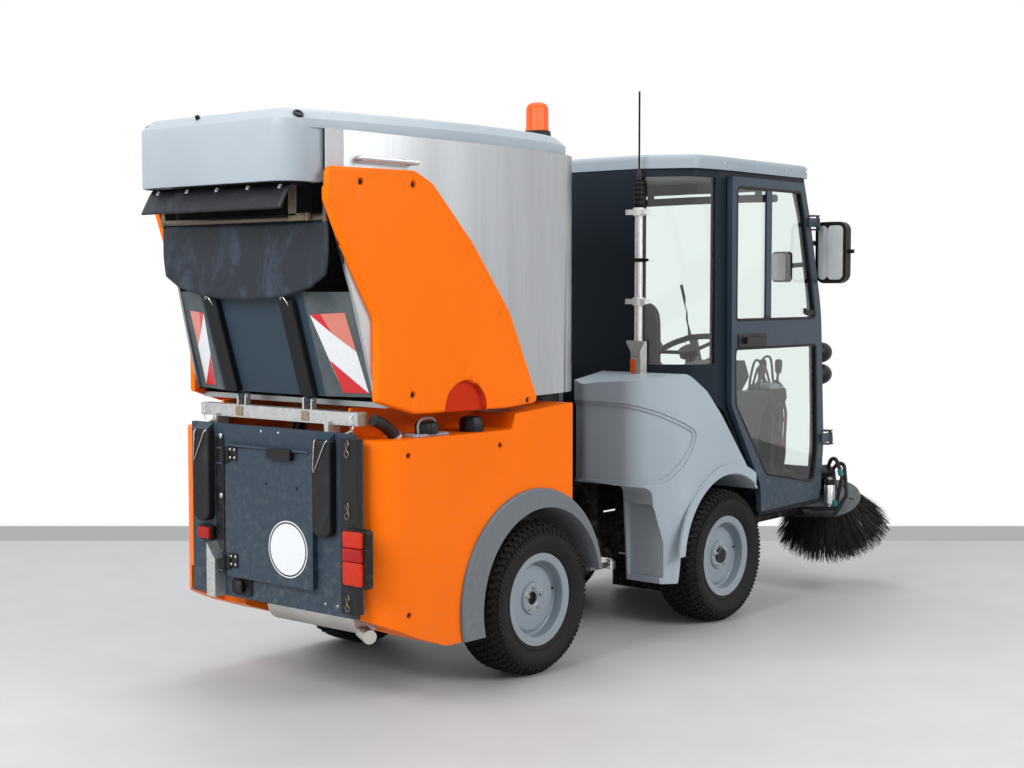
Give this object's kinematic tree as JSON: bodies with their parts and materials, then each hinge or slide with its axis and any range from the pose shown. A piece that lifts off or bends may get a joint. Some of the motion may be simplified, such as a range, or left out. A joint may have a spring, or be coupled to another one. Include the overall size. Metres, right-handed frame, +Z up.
{
  "type": "compact articulated street sweeper",
  "caption": "Compact articulated street sweeper with a driver's cab, disc brushes on lifting arms, a suction mouth and a hopper that tips backwards.",
  "frame": {"origin": "on the floor, under the middle of the whole machine's box", "axes": "+X forward, +Y to the driver's left, +Z up"},
  "size_m": [3.7647, 1.4662, 2.2711],
  "materials": {
    "orange_panel": "glossy moulded panel",
    "grey_panel": "satin moulded plastic",
    "slate_paint": "satin powder coat",
    "steel_sheet": "brushed stainless sheet",
    "chassis_black": "satin black paint",
    "engine_iron": "as cast",
    "zinc": "zinc plated",
    "chrome_rod": "ground and chromed",
    "rim_silver": "silver lacquer",
    "tyre_rubber": "moulded rubber",
    "black_rubber": "plain rubber",
    "black_plastic": "grained black plastic",
    "lamp_red": "clear red lens",
    "amber": "clear amber lens",
    "cab_glass": "clear safety glass",
    "seat_cloth": "black woven cover",
    "bristle": "stiff black bristles",
    "silencer_steel": "dull aluminised steel"
  },
  "bodies": {
    "rear_module": {"rear_chassis": "chassis_black", "rear_axle": "chassis_black", "engine_block": "engine_iron", "body_panels": "orange_panel", "fenders": "grey_panel", "rear_frame": "slate_paint", "buffers": "black_rubber", "cross_bar": "zinc", "tail_lamps": "lamp_red", "silencer": "silencer_steel", "deck_caps": "black_plastic", "hopper_pipe": "black_rubber"},
    "rear_door": {"rear_door": "slate_paint"},
    "hopper": {"hopper_shell": "steel_sheet", "hopper_lid": "grey_panel", "fairings": "orange_panel", "hopper_rear_wall": "slate_paint", "hopper_guides": "black_plastic", "discharge_rubber": "black_rubber", "hopper_rails": "zinc"},
    "tip_barrels": {"tip_barrels": "chassis_black"},
    "tip_rods": {"tip_rods": "chrome_rod"},
    "front_module": {"front_chassis": "chassis_black", "front_axle": "chassis_black", "cab_frame": "slate_paint", "cab_roof": "grey_panel", "cab_glass": "cab_glass", "tanks": "grey_panel", "seat": "seat_cloth", "driver_controls": "black_plastic", "head_lamps": "black_plastic", "mirrors": "black_plastic", "beacon": "amber", "aerial_pole": "zinc", "suction_nozzle": "chassis_black", "suction_pipe": "black_rubber"},
    "steer_barrel": {"steer_barrel": "chassis_black"},
    "steer_rod": {"steer_rod": "chrome_rod"},
    "door_right": {"door_right": "slate_paint", "door_glass_right": "cab_glass"},
    "door_left": {"door_left": "slate_paint", "door_glass_left": "cab_glass"},
    "brush_arm_right": {"brush_arm_right": "chassis_black", "motor_hoses_right": "black_rubber"},
    "brush_arm_left": {"brush_arm_left": "chassis_black", "motor_hoses_left": "black_rubber"},
    "brush_right": {"brush_right": "bristle"},
    "brush_left": {"brush_left": "bristle"},
    "wheel_rear_right": {"rim_rear_right": "rim_silver", "tyre_rear_right": "tyre_rubber"},
    "wheel_rear_left": {"rim_rear_left": "rim_silver", "tyre_rear_left": "tyre_rubber"},
    "wheel_front_right": {"rim_front_right": "rim_silver", "tyre_front_right": "tyre_rubber"},
    "wheel_front_left": {"rim_front_left": "rim_silver", "tyre_front_left": "tyre_rubber"}
  },
  "joints": [
    {"name": "roll_rear_right", "type": "hinge", "parent": "rear_module", "child": "wheel_rear_right", "pos_m": [-0.682, -0.427, 0.284], "axis": [0, 1, 0], "continuous": true},
    {"name": "roll_rear_left", "type": "hinge", "parent": "rear_module", "child": "wheel_rear_left", "pos_m": [-0.682, 0.427, 0.284], "axis": [0, 1, 0], "continuous": true},
    {"name": "roll_front_right", "type": "hinge", "parent": "front_module", "child": "wheel_front_right", "pos_m": [0.583, -0.427, 0.284], "axis": [0, 1, 0], "continuous": true},
    {"name": "roll_front_left", "type": "hinge", "parent": "front_module", "child": "wheel_front_left", "pos_m": [0.583, 0.427, 0.284], "axis": [0, 1, 0], "continuous": true},
    {"name": "articulation", "type": "hinge", "parent": "rear_module", "child": "front_module", "pos_m": [-0.0495, 0, 0.37], "axis": [0, 0, 1], "range_deg": [-35, 35]},
    {"name": "steer_swing", "type": "hinge", "parent": "rear_module", "child": "steer_barrel", "pos_m": [-0.352, -0.19, 0.262], "axis": [0, 0, 1], "range_deg": [-25, 25]},
    {"name": "steer_stroke", "type": "slide", "parent": "steer_barrel", "child": "steer_rod", "axis": [1, 0.0091, 0], "range_m": [-0.14, 0.14]},
    {"name": "hopper_tip", "type": "hinge", "parent": "rear_module", "child": "hopper", "pos_m": [-1.507, 0, 1.052], "axis": [0, -1, 0], "range_deg": [0, 60]},
    {"name": "ram_swing", "type": "hinge", "parent": "rear_module", "child": "tip_barrels", "pos_m": [-1.282, 0, 0.452], "axis": [0, -1, 0], "range_deg": [0, 18]},
    {"name": "ram_stroke", "type": "slide", "parent": "tip_barrels", "child": "tip_rods", "axis": [0.2587, 0, 0.9659], "range_m": [0, 0.34]},
    {"name": "rear_door_swing", "type": "hinge", "parent": "rear_module", "child": "rear_door", "pos_m": [-1.59, 0.189, 0.65], "axis": [0, 0, -1], "range_deg": [0, 100]},
    {"name": "door_right_swing", "type": "hinge", "parent": "front_module", "child": "door_right", "pos_m": [1.413, -0.554, 0.74], "axis": [-0.14, 0, 0.9901], "range_deg": [0, 80]},
    {"name": "brush_lift_right", "type": "hinge", "parent": "front_module", "child": "brush_arm_right", "pos_m": [1.073, -0.33, 0.372], "axis": [0, 1, 0], "range_deg": [0, 26]},
    {"name": "brush_spin_right", "type": "hinge", "parent": "brush_arm_right", "child": "brush_right", "pos_m": [1.633, -0.452, 0.272], "axis": [-0.4695, -0.1229, 0.8744], "continuous": true},
    {"name": "door_left_swing", "type": "hinge", "parent": "front_module", "child": "door_left", "pos_m": [1.413, 0.554, 0.74], "axis": [0.14, 0, -0.9901], "range_deg": [0, 80]},
    {"name": "brush_lift_left", "type": "hinge", "parent": "front_module", "child": "brush_arm_left", "pos_m": [1.073, 0.33, 0.372], "axis": [0, 1, 0], "range_deg": [0, 26]},
    {"name": "brush_spin_left", "type": "hinge", "parent": "brush_arm_left", "child": "brush_left", "pos_m": [1.633, 0.452, 0.272], "axis": [-0.4695, 0.1229, 0.8744], "continuous": true}
  ],
  "couplings": [
    {"joint": "steer_swing", "follows": "articulation", "ratio": 0.44257},
    {"joint": "steer_stroke", "follows": "articulation", "m_per_rad": 0.18424},
    {"joint": "ram_swing", "follows": "hopper_tip", "ratio": 0.25294},
    {"joint": "ram_stroke", "follows": "hopper_tip", "m_per_rad": 0.31037}
  ]
}
